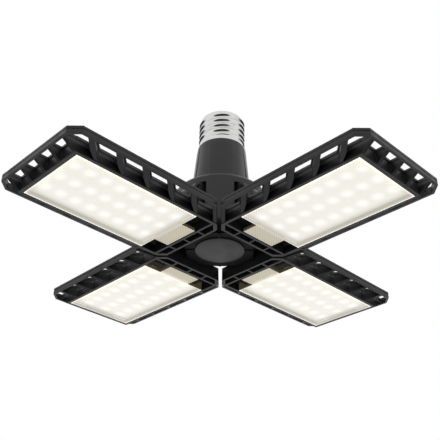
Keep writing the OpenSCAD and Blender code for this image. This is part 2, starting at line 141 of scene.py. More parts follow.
def noiseOver(tree, scale, at=(0, 0), **values):
    # noise in the piece's own space
    space = addNode(tree, "ShaderNodeTexCoord", (at[0] - 200, at[1]))
    noise = addNode(tree, "ShaderNodeTexNoise", at)
    setValues(noise, **values)
    tree.links.new(space.outputs["Object"], noise.inputs["Vector"])
    feed(tree, noise.inputs["Scale"], scale)
    return noise.outputs["Fac"]


def newGroup(name, inputs, outputs):
    tree = bpy.data.node_groups.new(name, "ShaderNodeTree")
    for label, value in inputs.items():
        kind = "NodeSocketColor" if isinstance(value, tuple) else "NodeSocketFloat"
        socket = tree.interface.new_socket(label, in_out="INPUT", socket_type=kind)
        socket.default_value = value
    for label, kind in outputs.items():
        tree.interface.new_socket(label, in_out="OUTPUT", socket_type=kind)
    start = addNode(tree, "NodeGroupInput", (-900, 0))
    end = addNode(tree, "NodeGroupOutput", (900, 0))
    return tree, start.outputs, end.inputs


def useGroup(tree, group, at=(0, 0), **values):
    node = addNode(tree, "ShaderNodeGroup", at, node_tree=group)
    for name, value in values.items():
        feed(tree, node.inputs[name.replace("_", " ")], value)
    return node.outputs


def newMaterial(name):
    material = bpy.data.materials.new(name)
    material.use_nodes = True
    tree = material.node_tree
    shader = tree.nodes["Principled BSDF"]
    shader.location = (500, 0)
    tree.nodes["Material Output"].location = (820, 0)
    return material, tree, shader


def bumpInto(tree, shader, height, distance, strength, normal=None):
    bump = addNode(tree, "ShaderNodeBump", (250, -300))
    setValues(bump, Distance=distance, Strength=strength)
    tree.links.new(height, bump.inputs["Height"])
    if normal is not None:
        tree.links.new(normal, bump.inputs["Normal"])
    tree.links.new(bump.outputs["Normal"], shader.inputs["Normal"])


def dress(material, *names):
    for name in names:
        mesh = nodes[name].data
        mesh.materials.clear()
        mesh.materials.append(material)


number = "NodeSocketFloat"
grainEffect = {
    "fineDetail": 3.0, "fineRoughness": 0.6, "slowScale": 38.0, "slowDetail": 2.0,
    "slowRoughness": 0.5, "slowLow": 0.3, "slowHigh": 0.7, "speck": 0.24, "glossDrift": 0.04,
}
wearEffect = {
    "samples": 6, "patchScale": 420.0, "patchDetail": 3.0, "patchLow": 0.38, "patchHigh": 0.62,
}
marksEffect = {"detail": 4.0, "roughness": 0.55, "distortion": 0.6, "low": 0.48, "high": 0.68}
turnedEffect = {"detail": 2.0, "middle": 0.5}


def makeMouldedGrain(look):
    # spark-eroded tool texture with a slow drift in tone
    tree, given, out = newGroup("moulded grain", {
        "Base Color": (0.03, 0.03, 0.03, 1), "Tone Drift": 0.12, "Grain Size": 0.35,
        "Roughness": 0.5,
    }, {"Color": "NodeSocketColor", "Roughness": number, "Height": number})
    size = mathNode(tree, "DIVIDE", perMetre, given["Grain Size"], at=(-700, -300))
    fine = noiseOver(tree, size, (-500, -300), Detail=look["fineDetail"],
                     Roughness=look["fineRoughness"])
    slow = noiseOver(tree, look["slowScale"], (-500, 0), Detail=look["slowDetail"],
                     Roughness=look["slowRoughness"])
    drift = ramp(tree, slow, look["slowLow"], look["slowHigh"], -1.0, 1.0, at=(-300, 0))
    gain = mathNode(tree, "MULTIPLY_ADD", drift, given["Tone Drift"], 1.0, at=(-100, 0))
    speck = mathNode(tree, "MULTIPLY_ADD", fine, look["speck"], 1 - look["speck"] / 2,
                     at=(-100, -160))
    tone = mathNode(tree, "MULTIPLY", gain, speck, at=(80, -60))
    color = scaleColor(tree, given["Base Color"], tone, (280, 60))
    rough = mathNode(tree, "MULTIPLY_ADD", drift, look["glossDrift"], given["Roughness"],
                     at=(280, -120), clamp=True)
    connect(tree, out, Color=color, Roughness=rough, Height=fine)
    return tree


def makeEdgeWear(look):
    # rubbed corners: where the rounded normal leaves the flat one
    tree, given, out = newGroup("edge wear", {
        "Radius": 0.0004, "Reach": 0.12, "Patchiness": 0.5,
    }, {"Mask": number, "Normal": "NodeSocketVector"})
    bevel = addNode(tree, "ShaderNodeBevel", (-600, 0), samples=look["samples"])
    tree.links.new(given["Radius"], bevel.inputs["Radius"])
    face = addNode(tree, "ShaderNodeNewGeometry", (-600, -200))
    dot = addNode(tree, "ShaderNodeVectorMath", (-400, 0), operation="DOT_PRODUCT")
    tree.links.new(bevel.outputs["Normal"], dot.inputs[0])
    tree.links.new(face.outputs["Normal"], dot.inputs[1])
    turned = mathNode(tree, "SUBTRACT", 1.0, dot.outputs["Value"], at=(-220, 0))
    edge = mathNode(tree, "DIVIDE", turned, given["Reach"], at=(-60, 0), clamp=True)
    noise = noiseOver(tree, look["patchScale"], (-600, -400), Detail=look["patchDetail"])
    patch = ramp(tree, noise, look["patchLow"], look["patchHigh"], at=(-400, -400))
    spared = mathNode(tree, "MULTIPLY", patch, given["Patchiness"], at=(-220, -300))
    worn = mathNode(tree, "SUBTRACT", 1.0, spared, at=(-60, -300))
    mask = mathNode(tree, "MULTIPLY", edge, worn, at=(140, -60))
    connect(tree, out, Mask=mask, Normal=bevel.outputs["Normal"])
    return tree


def makeHandlingMarks(look):
    # faint marks in the gloss; the metals also take their tarnish from the mask
    tree, given, out = newGroup("handling marks", {
        "Size": 9.0, "Amount": 0.08, "Roughness": 0.4,
    }, {"Roughness": number, "Mask": number})
    size = mathNode(tree, "DIVIDE", perMetre, given["Size"], at=(-700, -100))
    noise = noiseOver(tree, size, (-500, 0), Detail=look["detail"], Roughness=look["roughness"],
                      Distortion=look["distortion"])
    mask = ramp(tree, noise, look["low"], look["high"], at=(-300, 0))
    rough = mathNode(tree, "MULTIPLY_ADD", mask, given["Amount"], given["Roughness"], clamp=True)
    connect(tree, out, Roughness=rough, Mask=mask)
    return tree


def makeTurnedMarks(look):
    # fine marks left by rolling and turning
    tree, given, out = newGroup("turned marks", {
        "Pitch": 0.25, "Roughness": 0.25, "Variation": 0.1,
    }, {"Roughness": number, "Height": number})
    size = mathNode(tree, "DIVIDE", perMetre, given["Pitch"], at=(-700, -100))
    noise = noiseOver(tree, size, (-500, 0), Detail=look["detail"])
    centred = mathNode(tree, "SUBTRACT", noise, look["middle"], at=(-300, 0))
    rough = mathNode(tree, "MULTIPLY_ADD", centred, given["Variation"], given["Roughness"],
                     at=(-100, 0), clamp=True)
    connect(tree, out, Roughness=rough, Height=noise)
    return tree


def makeLeafSpace():
    # millimetres along and across a leaf, alike on all four, and the height at rest
    tree, given, out = newGroup("leaf distances", {"Unit": perMetre},
                                {"Along": number, "Across": number, "Height": number})
    space = addNode(tree, "ShaderNodeTexCoord", (-900, -200))
    split = addNode(tree, "ShaderNodeSeparateXYZ", (-700, -200))
    tree.links.new(space.outputs["Object"], split.inputs[0])
    x = mathNode(tree, "ABSOLUTE", split.outputs["X"], at=(-500, 0))
    y = mathNode(tree, "ABSOLUTE", split.outputs["Y"], at=(-500, -160))
    found = {
        "Along": mathNode(tree, "MAXIMUM", x, y, at=(-300, 0)),
        "Across": mathNode(tree, "MINIMUM", x, y, at=(-300, -160)),
        "Height": split.outputs["Z"],
    }
    for name, value in found.items():
        tree.links.new(mathNode(tree, "MULTIPLY", value, given["Unit"]), out[name])
    return tree


def makeLampGlow():
    # soft round pools of light on the lamps' own grid: columns along the leaf, three rows across
    tree, given, out = newGroup("lamp glow", {
        "Along": 0.0, "Across": 0.0, "Middle": 69.7, "Column Pitch": 8.3, "Row Pitch": 11.35,
        "Core": 1.0, "Spread": 5.0,
    }, {"Mask": number})
    fromMiddle = mathNode(tree, "SUBTRACT", given["Along"], given["Middle"], at=(-700, 200))
    column = mathNode(tree, "DIVIDE", fromMiddle, given["Column Pitch"], at=(-540, 200))
    columnAt = mathNode(tree, "FLOOR", column, at=(-380, 260))
    columnOff = mathNode(tree, "SUBTRACT", column, columnAt, at=(-220, 200))
    columnGap = mathNode(tree, "SUBTRACT", columnOff, 0.5, at=(-60, 200))
    dx = mathNode(tree, "MULTIPLY", columnGap, given["Column Pitch"], at=(100, 200))
    row = mathNode(tree, "DIVIDE", given["Across"], given["Row Pitch"], at=(-540, 0))
    rowAt = mathNode(tree, "ROUND", row, at=(-380, 0))
    lastRow = mathNode(tree, "MINIMUM", rowAt, 1.0, at=(-220, 0))
    rowGap = mathNode(tree, "SUBTRACT", row, lastRow, at=(-60, 0))
    dy = mathNode(tree, "MULTIPLY", rowGap, given["Row Pitch"], at=(100, 0))
    squareX = mathNode(tree, "MULTIPLY", dx, dx, at=(260, 200))
    square = mathNode(tree, "MULTIPLY_ADD", dy, dy, squareX, at=(260, 0))
    away = mathNode(tree, "SQRT", square, at=(420, 0))
    mask = ramp(tree, away, given["Core"], given["Spread"], 1.0, 0.0, at=(600, 0))
    connect(tree, out, Mask=mask)
    return tree


mouldedGrain = makeMouldedGrain(grainEffect)
edgeWear = makeEdgeWear(wearEffect)
handlingMarks = makeHandlingMarks(marksEffect)
turnedMarks = makeTurnedMarks(turnedEffect)
leafSpace = makeLeafSpace()
lampGlow = makeLampGlow()
print("shared effects made")


leafPlasticLook = {
    "color": (0.0095, 0.0096, 0.0102), "drift": 0.16, "grainSize": 0.45, "roughness": 0.42,
    "edgeRadius": 0.35, "reach": 0.15, "patchiness": 0.55, "wear": 0.35,
    "wornColor": (0.045, 0.045, 0.048), "marks": 0.08, "markSize": 14.0, "ior": 1.42,
    "grainDepth": 0.03, "bump": 0.4,
}
# the tray walls take painted light along their top and painted shade below it
frameLook = {
    **leafPlasticLook, "wallFrom": 20.4, "wallTo": 23.0, "shadeLineHeight": -62.7, "wallBlend": 0.1,
    "paintedLightColor": (0.05, 0.05, 0.051), "paintedShadeColor": (0.0035, 0.0025, 0.0025),
}
hubPlasticLook = {
    **leafPlasticLook, "color": (0.0165, 0.0166, 0.0171), "roughness": 0.28, "grainSize": 0.55,
    "marks": 0.1, "wear": 0.08,
}
capPlasticLook = {
    **leafPlasticLook, "color": (0.008, 0.0082, 0.0086), "edgeRadius": 0.25, "drift": 0.1,
}
coverPlasticLook = {
    **leafPlasticLook, "color": (0.003, 0.003, 0.0032), "roughness": 0.62, "ior": 1.2, "wear": 0.1,
}


def trayWallPaintedLight(tree, look):
    # the trays' side walls: painted light along the top, standing for the bright reflection through
    # the openings above, and painted shade below it, near black with a brownish tint of painted
    # glow from the lens
    place = useGroup(tree, leafSpace, (-1500, 300))
    blend = look["wallBlend"]
    low = ramp(tree, place["Across"], look["wallFrom"], look["wallFrom"] + blend, at=(-1300, 400))
    high = ramp(tree, place["Across"], look["wallTo"], look["wallTo"] + blend, 1.0, 0.0,
                at=(-1300, 200))
    wall = mathNode(tree, "MULTIPLY", low, high, at=(-1100, 300))
    lip = ramp(tree, place["Height"], look["shadeLineHeight"] - blend, look["shadeLineHeight"] + blend,
               at=(-1300, 0))
    tone = mixColor(tree, lip, look["paintedShadeColor"], look["paintedLightColor"], at=(-1100, 0))
    return mixColor(tree, wall, look["color"], tone, at=(-900, 200))


def mouldedPlastic(name, look):
    material, tree, shader = newMaterial(name)
    # the frames get painted light and painted shade on their tray walls
    own = trayWallPaintedLight(tree, look) if "wallFrom" in look else look["color"]
    grain = useGroup(tree, mouldedGrain, (-500, 100), Base_Color=own, Tone_Drift=look["drift"],
                     Grain_Size=look["grainSize"], Roughness=look["roughness"])
    wear = useGroup(tree, edgeWear, (-500, -300), Radius=mm(look["edgeRadius"]),
                    Reach=look["reach"], Patchiness=look["patchiness"])
    amount = mathNode(tree, "MULTIPLY", wear["Mask"], look["wear"], at=(-250, -160))
    color = mixColor(tree, amount, grain["Color"], look["wornColor"], at=(0, 100))
    marks = useGroup(tree, handlingMarks, (-250, -40), Size=look["markSize"], Amount=look["marks"],
                     Roughness=grain["Roughness"])
    connect(tree, shader.inputs, Base_Color=color, Roughness=marks["Roughness"])
    setValues(shader, IOR=look["ior"])
    bumpInto(tree, shader, grain["Height"], mm(look["grainDepth"]), look["bump"], wear["Normal"])
    return material


dress(mouldedPlastic("charcoal moulded plastic", frameLook), *perLeaf("frame"))
dress(mouldedPlastic("hub moulded plastic", hubPlasticLook), "hub_housing")
dress(mouldedPlastic("satin cap plastic", capPlasticLook), "centre_cap")
dress(mouldedPlastic("black cover plastic", coverPlasticLook), "hub_cover")
print("plastics dressed")


# millimetres: along a leaf from the light's axis, across it from its middle line
lampGrid = {
    "middle": 69.7, "columnPitch": 8.3, "rowPitch": 11.35, "halfWidth": 20.6, "start": 35.3,
    "end": 103.9, "hubMargin": 0.5, "endMargin": 0.4, "sideMargin": 0.3, "fullGlow": 9.0,
}
boardLook = {
    "edgeWearAndShadeColor": (0.01, 0.009, 0.006), "color": (0.55, 0.54, 0.48), "glow": (0.99, 0.97, 0.92),
    "betweenGlow": (0.80, 0.785, 0.72), "core": 0.6, "spread": 5.4, "border": 3.2, "dark": 6.0,
    "strength": 1.0, "spill": 0.1, "drift": 0.04, "grainSize": 0.8, "roughness": 0.45,
    "grainDepth": 0.02, "bump": 0.4,
}
lampLook = {
    "phosphor": (1.0, 0.78, 0.22), "palePhosphor": (1.0, 0.9, 0.5), "glow": (1.0, 0.95, 0.8),
    "paleGlow": (1.0, 0.99, 0.93), "edgeWearAndShadeColor": (0.01, 0.009, 0.006), "dark": 6.5,
    "noiseScale": 1400.0, "noiseDetail": 2.0, "roughness": 0.35, "strength": 1.1,
    "grainDepth": 0.05, "bump": 0.5,
}
diffuserLook = {
    "color": (0.30, 0.295, 0.275), "borderColor": (0.26, 0.235, 0.185),
    "skirtColor": (0.07, 0.06, 0.04), "faceGlow": (0.525, 0.51, 0.46),
    "clearGlow": (0.575, 0.53, 0.405), "poolGlow": (0.98, 0.975, 0.945),
    "betweenGlow": (0.70, 0.685, 0.63), "lineGlow": (0.95, 0.935, 0.88),
    "tabGlow": (0.585, 0.54, 0.42), "skirtGlow": (0.03, 0.025, 0.015), "strength": 1.2,
    "spill": 0.1, "core": 0.3, "spread": 4.6, "lineWidth": 1.8, "clearWidth": 5.5,
    "faceAlpha": 0.55, "clearAlpha": 0.12, "milkyAlpha": 0.95, "prismPitch": 1.6,
    "prismDepth": 0.12, "bump": 0.35, "hatch": 0.22, "hatchFade": 0.85, "tabHalf": 10.35,
    "tabBlend": 0.3, "tabBefore": 1.2, "tabAfter": 2.6, "skirtHeight": -65.3, "skirtBlend": 0.1,
    "wallLow": 0.4, "wallHigh": 0.6, "roughness": 0.3, "marks": 0.08, "markSize": 18.0, "ior": 1.49,
}


def shownStrength(tree, look, at):
    # full to the eye, little onto the mouldings round it
    paths = addNode(tree, "ShaderNodeLightPath", at)
    full, spill = look["strength"], look["spill"]
    return mathNode(tree, "MULTIPLY_ADD", paths.outputs["Is Camera Ray"], full * (1 - spill),
                    full * spill, at=(at[0] + 200, at[1]))


def litArea(tree, place, grid, edge):
    # 1 over the lamps, falling to 0 at the board's borders
    inner = ramp(tree, place["Along"], grid["start"] - grid["hubMargin"], grid["start"] + edge,
                 at=(-500, 300))
    outer = ramp(tree, place["Along"], grid["end"] - edge, grid["end"] + grid["endMargin"],
                 1.0, 0.0, at=(-500, 160))
    side = ramp(tree, place["Across"], grid["halfWidth"] - edge,
                grid["halfWidth"] + grid["sideMargin"], 1.0, 0.0, at=(-500, 20))
    both = mathNode(tree, "MULTIPLY", inner, outer, at=(-320, 240))
    return mathNode(tree, "MULTIPLY", both, side, at=(-160, 160))


def poolMask(tree, place, grid, look, at):
    return useGroup(tree, lampGlow, at, Along=place["Along"], Across=place["Across"],
                    Middle=grid["middle"], Column_Pitch=grid["columnPitch"],
                    Row_Pitch=grid["rowPitch"], Core=look["core"], Spread=look["spread"])["Mask"]


def lampBoardMaterial(look, grid):
    # painted shade at the hub's end, where the openings beside the lens's tab look in: the board is
    # painted near black there and gives no glow
    material, tree, shader = newMaterial("lamp board, white mask")
    place = useGroup(tree, leafSpace, (-900, 0))
    pools = poolMask(tree, place, grid, look, (-700, 0))
    lit = litArea(tree, place, grid, look["border"])
    glow = mixColor(tree, pools, look["betweenGlow"], look["glow"])
    fromHub = ramp(tree, place["Along"], grid["start"] + look["dark"],
                   grid["start"] + grid["fullGlow"], at=(0, 300))
    lively = mathNode(tree, "MULTIPLY", lit, fromHub, at=(100, 200))
    shown = mixColor(tree, lively, look["edgeWearAndShadeColor"], glow, at=(200, 0))
    grain = useGroup(tree, mouldedGrain, (-300, -300), Base_Color=look["color"],
                     Tone_Drift=look["drift"], Grain_Size=look["grainSize"],
                     Roughness=look["roughness"])
    # painted shade: the board's own colour turns near black towards the hub's end
    own = mixColor(tree, fromHub, look["edgeWearAndShadeColor"], grain["Color"], at=(200, -300))
    connect(tree, shader.inputs, Base_Color=own, Roughness=grain["Roughness"],
            Emission_Color=shown, Emission_Strength=shownStrength(tree, look, (-100, -500)))
    bumpInto(tree, shader, grain["Height"], mm(look["grainDepth"]), look["bump"])
    return material


def lampMaterial(look, grid):
    material, tree, shader = newMaterial("lamp, yellow phosphor")
    noise = noiseOver(tree, look["noiseScale"], (-500, 0), Detail=look["noiseDetail"])
    color = mixColor(tree, noise, look["phosphor"], look["palePhosphor"], at=(-250, 0))
    glow = mixColor(tree, noise, look["glow"], look["paleGlow"], at=(-250, -250))
    place = useGroup(tree, leafSpace, (-700, -400))
    fromHub = ramp(tree, place["Along"], grid["start"] + look["dark"],
                   grid["start"] + grid["fullGlow"], at=(-500, -400))
    # painted shade: the lamps nearest the hub give no glow, so the openings beside the lens's tab
    # stay dark
    shown = mixColor(tree, fromHub, look["edgeWearAndShadeColor"], glow, at=(0, -300))
    connect(tree, shader.inputs, Base_Color=color, Emission_Color=shown)
    setValues(shader, Roughness=look["roughness"], Emission_Strength=look["strength"])
    bumpInto(tree, shader, noise, mm(look["grainDepth"]), look["bump"])
    return material


def prismWaves(tree, place, pitch):
    # small rounded prisms in rows both ways
    step = 2 * math.pi / pitch
    waves = [mathNode(tree, "SINE", mathNode(tree, "MULTIPLY", place[way], step))
             for way in ("Along", "Across")]
    return mathNode(tree, "MULTIPLY", *waves, at=(-700, -400))


def shadedSkirtsAndWalls(tree, place, look):
    # the skirts behind the plate and every side wall, painted near black with almost no glow as
    # painted shade
    above = ramp(tree, place["Height"], look["skirtHeight"],
                 look["skirtHeight"] + look["skirtBlend"], at=(-700, -200))
    space = addNode(tree, "ShaderNodeTexCoord", (-1300, -300))
    facing = addNode(tree, "ShaderNodeSeparateXYZ", (-1100, -300))
    tree.links.new(space.outputs["Normal"], facing.inputs[0])
    flat = mathNode(tree, "ABSOLUTE", facing.outputs["Z"], at=(-900, -300))
    wall = ramp(tree, flat, look["wallLow"], look["wallHigh"], 1.0, 0.0, at=(-700, -300))
    return mathNode(tree, "MAXIMUM", above, wall, at=(-500, -200))


def diffuserMaterial(look, grid):
    # the pools lie on the plate's inner face and show through its half clear outer face
    material, tree, shader = newMaterial("milky prismatic diffuser")
    place = useGroup(tree, leafSpace, (-1300, 0))
    inside = addNode(tree, "ShaderNodeNewGeometry", (-900, 500)).outputs["Backfacing"]
    poolsAt = poolMask(tree, place, grid, look, (-1100, 0))
    lit = litArea(tree, place, grid, look["lineWidth"])
    milky = litArea(tree, place, grid, look["clearWidth"])
    prism = prismWaves(tree, place, look["prismPitch"])
    skirt = shadedSkirtsAndWalls(tree, place, look)

    pools = mixColor(tree, poolsAt, look["betweenGlow"], look["poolGlow"], at=(-300, 300))
    face = mixColor(tree, milky, look["clearGlow"], look["faceGlow"], at=(-300, 500))
    body = mixColor(tree, inside, face, pools, at=(-150, 300))
    within = ramp(tree, place["Across"], look["tabHalf"] - look["tabBlend"], look["tabHalf"],
                  1.0, 0.0, at=(-500, 700))
    tabDepth = ramp(tree, place["Along"], grid["start"] - look["tabBefore"],
                    grid["start"] + look["tabAfter"], 1.0, 0.0, at=(-500, 850))
    tab = mathNode(tree, "MULTIPLY", within, tabDepth, at=(-300, 700))
    edge = mixColor(tree, tab, look["lineGlow"], look["tabGlow"], at=(-150, 600))
    clearOfTab = mathNode(tree, "MULTIPLY_ADD", tab, -1.0, 1.0, at=(-300, 850))
    bodyShare = mathNode(tree, "MULTIPLY", lit, clearOfTab, at=(-150, 850))
    plateTone = mixColor(tree, bodyShare, edge, body, at=(0, 200))

    clear = mathNode(tree, "MULTIPLY_ADD", milky, -look["hatchFade"], 1.0, at=(-500, -300))
    hatched = mathNode(tree, "MULTIPLY", prism, look["hatch"], at=(-500, -400))
    shimmer = mathNode(tree, "MULTIPLY_ADD", hatched, clear, 1.0, at=(-320, -400))
    plateGlow = scaleColor(tree, plateTone, shimmer, (150, 200))
    # painted shade: the skirts and side walls take a near black glow and colour
    emission = mixColor(tree, skirt, plateGlow, look["skirtGlow"], at=(300, 200))
    plate = mixColor(tree, lit, look["borderColor"], look["color"], at=(-50, 0))
    base = mixColor(tree, skirt, plate, look["skirtColor"], at=(100, 0))

    innerAlpha = ramp(tree, milky, 0.0, 1.0, look["clearAlpha"], look["milkyAlpha"],
                      at=(-100, -400), kind="LINEAR")
    plateAlpha = mixNumber(tree, inside, look["faceAlpha"], innerAlpha, at=(100, -400))
    plain = mathNode(tree, "MAXIMUM", lit, within, at=(100, -600))
    line = mathNode(tree, "SUBTRACT", 1.0, plain, at=(200, -600))
    solid = mathNode(tree, "MAXIMUM", line, skirt, at=(250, -500))
    alpha = mathNode(tree, "MAXIMUM", plateAlpha, solid, at=(300, -400))

    marks = useGroup(tree, handlingMarks, (100, -150), Size=look["markSize"], Amount=look["marks"],
                     Roughness=look["roughness"])
    connect(tree, shader.inputs, Base_Color=base, Emission_Color=emission, Alpha=alpha,
            Roughness=marks["Roughness"], Emission_Strength=shownStrength(tree, look, (0, -600)))
    setValues(shader, IOR=look["ior"])
    bumpInto(tree, shader, prism, mm(look["prismDepth"]), look["bump"])
    return material


dress(lampBoardMaterial(boardLook, lampGrid), *perLeaf("lamp_board"))
dress(lampMaterial(lampLook, lampGrid), *perLeaf("lamps"))
dress(diffuserMaterial(diffuserLook, lampGrid), *perLeaf("diffuser"))
print("lamps and diffusers dressed")


nickelLook = {
    "color": (0.68, 0.68, 0.675), "dullColor": (0.52, 0.52, 0.51),
    "brightColor": (0.85, 0.85, 0.84), "roughness": 0.16, "variation": 0.08, "markPitch": 0.5,
    "markDepth": 0.01, "bump": 0.3, "edgeRadius": 0.15, "reach": 0.2, "patchiness": 0.4,
    "wear": 0.5, "smear": 0.12, "smearSize": 6.0, "tarnish": 0.35,
}
zincLook = {**nickelLook, "color": (0.6, 0.6, 0.58), "roughness": 0.32, "smear": 0.15}
blackPinLook = {
    **nickelLook, "color": (0.02, 0.02, 0.021), "dullColor": (0.012, 0.012, 0.0125),
    "brightColor": (0.04, 0.04, 0.04), "roughness": 0.55, "smear": 0.1,
}
blackNutLook = {**blackPinLook, "roughness": 0.48}
springLook = {
    **nickelLook, "color": (0.4, 0.37, 0.31), "dullColor": (0.36, 0.35, 0.34), "roughness": 0.36,
}
solderLook = {
    **nickelLook, "color": (0.56, 0.55, 0.53), "dullColor": (0.36, 0.33, 0.29), "roughness": 0.34,
    "smearSize": 2.0, "tarnish": 0.7, "markDepth": 0.05,
}


def plainMetal(name, look):
    material, tree, shader = newMaterial(name)
    turned = useGroup(tree, turnedMarks, (-500, 0), Pitch=look["markPitch"],
                      Roughness=look["roughness"], Variation=look["variation"])
    wear = useGroup(tree, edgeWear, (-500, -300), Radius=mm(look["edgeRadius"]),
                    Reach=look["reach"], Patchiness=look["patchiness"])
    marks = useGroup(tree, handlingMarks, (-250, 0), Size=look["smearSize"], Amount=look["smear"],
                     Roughness=turned["Roughness"])
    dull = mathNode(tree, "MULTIPLY", marks["Mask"], look["tarnish"], at=(-60, 160))
    tarnished = mixColor(tree, dull, look["color"], look["dullColor"], at=(120, 160))
    bright = mathNode(tree, "MULTIPLY", wear["Mask"], look["wear"], at=(120, -100))
    color = mixColor(tree, bright, tarnished, look["brightColor"], at=(300, 100))
    connect(tree, shader.inputs, Base_Color=color, Roughness=marks["Roughness"])
    setValues(shader, Metallic=1.0)
    bumpInto(tree, shader, turned["Height"], mm(look["markDepth"]), look["bump"], wear["Normal"])
    return material


nickel = plainMetal("nickel plate", nickelLook)
dress(plainMetal("zinc plated screws", zincLook), "cover_screws", *perLeaf("board_screws"))
dress(plainMetal("blackened steel pins", blackPinLook), *perLeaf("hinge_pin"))
dress(plainMetal("blackened steel nuts", blackNutLook), *perLeaf("hinge_nut"))
dress(plainMetal("spring steel washers", springLook), *perLeaf("hinge_washers"))
dress(plainMetal("solder capped contact", solderLook), "centre_contact", "supply_wires")
print("metals dressed")


# millimetres, with heights up from the shell's seat; turns and steps are counts
shellShape = {
    "crestRadius": 13.1, "depth": 0.75, "pitch": 3.629, "turns": 4.5, "collar": 3.2, "fade": 1.2,
    "wall": 0.5, "roll": 1.2, "lipRadius": 9.45, "stepsRound": 144, "stepsUp": 150, "rollSteps": 10,
}


def threadRadius(shape, z, angle):
    top = shape["collar"] + shape["turns"] * shape["pitch"]
    fadeIn = min(1.0, max(0.0, (z - shape["collar"]) / shape["fade"]))
    fadeOut = min(1.0, max(0.0, (top - z) / shape["fade"]))
    root = shape["crestRadius"] - shape["depth"]
    wave = (1 + math.cos(2 * math.pi * z / shape["pitch"] - angle)) / 2
    return root + shape["depth"] * min(fadeIn, fadeOut) * wave


def shellRings(shape):
    # height, distance inside the thread, and the plain radius where there is no thread
    top = shape["collar"] + shape["turns"] * shape["pitch"]
    root = shape["crestRadius"] - shape["depth"]
    roll, wall, lip = shape["roll"], shape["wall"], shape["lipRadius"]
    innerRoll = roll - wall
    heights = [top * j / shape["stepsUp"] for j in range(shape["stepsUp"] + 1)]
    bends = [math.pi / 2 * s / shape["rollSteps"] for s in range(1, shape["rollSteps"] + 1)]
    rings = [(z, 0.0, None) for z in heights]
    rings += [(top + roll * math.sin(t), 0.0, root - roll * (1 - math.cos(t))) for t in bends]
    rings += [(top + roll, 0.0, lip), (top + roll - wall, 0.0, lip)]
    rings += [(top + innerRoll * math.sin(t), 0.0, root - roll + innerRoll * math.cos(t))
              for t in reversed(bends)]
    rings += [(z, wall, None) for z in reversed(heights)]
    return rings


def makeShell(shape):
    bm = bmesh.new()
    rows = []
    for z, inset, plain in shellRings(shape):
        row = []
        for i in range(shape["stepsRound"]):
            a = 2 * math.pi * i / shape["stepsRound"]
            r = threadRadius(shape, z, a) - inset if plain is None else plain
            row.append(bm.verts.new(mm(r * math.cos(a), r * math.sin(a), z)))
        rows.append(row)
    for j, row in enumerate(rows):
        upper = rows[(j + 1) % len(rows)]
        for i in range(len(row)):
            n = (i + 1) % len(row)
            face = bm.faces.new((row[i], row[n], upper[n], upper[i]))
            face.smooth = True
    mesh = bpy.data.meshes.new("rolled_shell")
    bm.to_mesh(mesh)
    bm.free()
    piece = bpy.data.objects.new("rolled_shell", mesh)
    scene.collection.objects.link(piece)
    return piece


shell = makeShell(shellShape)
shell.data.materials.append(nickel)
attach(shell, "hub")
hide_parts("screw_shell")
print("screw shell made")


smallPartFinish = {
    "edgeRadius": 0.15, "reach": 0.2, "patchiness": 0.5, "wear": 0.3, "coatRoughness": 0.12,
    "grainDepth": 0.02, "bump": 0.3,
}
smallParts = {
    "base_insulator": {"name": "black glass insulator", "color": (0.008, 0.008, 0.01),
                       "drift": 0.2, "grainSize": 1.6, "roughness": 0.16,
                       "edgeWearAndShadeColor": (0.05, 0.05, 0.06), "coat": 0.6},
    "transformer": {"name": "ferrite and taped winding", "color": (0.06, 0.055, 0.05),
                    "drift": 0.3, "grainSize": 0.8, "roughness": 0.55,
                    "edgeWearAndShadeColor": (0.15, 0.14, 0.12), "coat": 0.0},
    "smoothing_capacitors": {"name": "sleeved can", "color": (0.012, 0.018, 0.06), "drift": 0.15,
                             "grainSize": 2.0, "roughness": 0.25, "edgeWearAndShadeColor": (0.2, 0.2, 0.24),
                             "coat": 0.3},
    "rectifier": {"name": "moulded chip", "color": (0.01, 0.01, 0.01), "drift": 0.1,
                  "grainSize": 0.4, "roughness": 0.5, "edgeWearAndShadeColor": (0.06, 0.06, 0.06), "coat": 0.0},
    "surge_disc": {"name": "dipped epoxy", "color": (0.02, 0.07, 0.2), "drift": 0.25,
                   "grainSize": 2.5, "roughness": 0.3, "edgeWearAndShadeColor": (0.1, 0.18, 0.35), "coat": 0.5},
    "leaf_leads": {"name": "lead sleeve", "color": (0.35, 0.02, 0.015), "drift": 0.1,
                   "grainSize": 1.2, "roughness": 0.35, "edgeWearAndShadeColor": (0.5, 0.1, 0.08), "coat": 0.0},
    "lead_plug": {"name": "nylon plug", "color": (0.66, 0.64, 0.56), "drift": 0.05,
                  "grainSize": 1.0, "roughness": 0.4, "edgeWearAndShadeColor": (0.8, 0.79, 0.74), "coat": 0.0},
}
circuitBoardLook = {
    "scale": 220.0, "gap": 0.04, "color": (0.012, 0.09, 0.035, 1),
    "secondColor": (0.016, 0.11, 0.045, 1), "trackColor": (0.03, 0.19, 0.075, 1),
    "roughness": 0.3, "trackGloss": 0.15, "trackDepth": 0.04, "bump": 0.6,
}


def glossyBody(look, finish):
    material, tree, shader = newMaterial(look["name"])
    grain = useGroup(tree, mouldedGrain, (-500, 100), Base_Color=look["color"],
                     Tone_Drift=look["drift"], Grain_Size=look["grainSize"],
                     Roughness=look["roughness"])
    wear = useGroup(tree, edgeWear, (-500, -300), Radius=mm(finish["edgeRadius"]),
                    Reach=finish["reach"], Patchiness=finish["patchiness"])
    amount = mathNode(tree, "MULTIPLY", wear["Mask"], finish["wear"], at=(-200, -160))
    color = mixColor(tree, amount, grain["Color"], look["edgeWearAndShadeColor"], at=(0, 100))
    connect(tree, shader.inputs, Base_Color=color, Roughness=grain["Roughness"])
    setValues(shader, Coat_Weight=look["coat"], Coat_Roughness=finish["coatRoughness"])
    bumpInto(tree, shader, grain["Height"], mm(finish["grainDepth"]), finish["bump"],
             wear["Normal"])
    return material


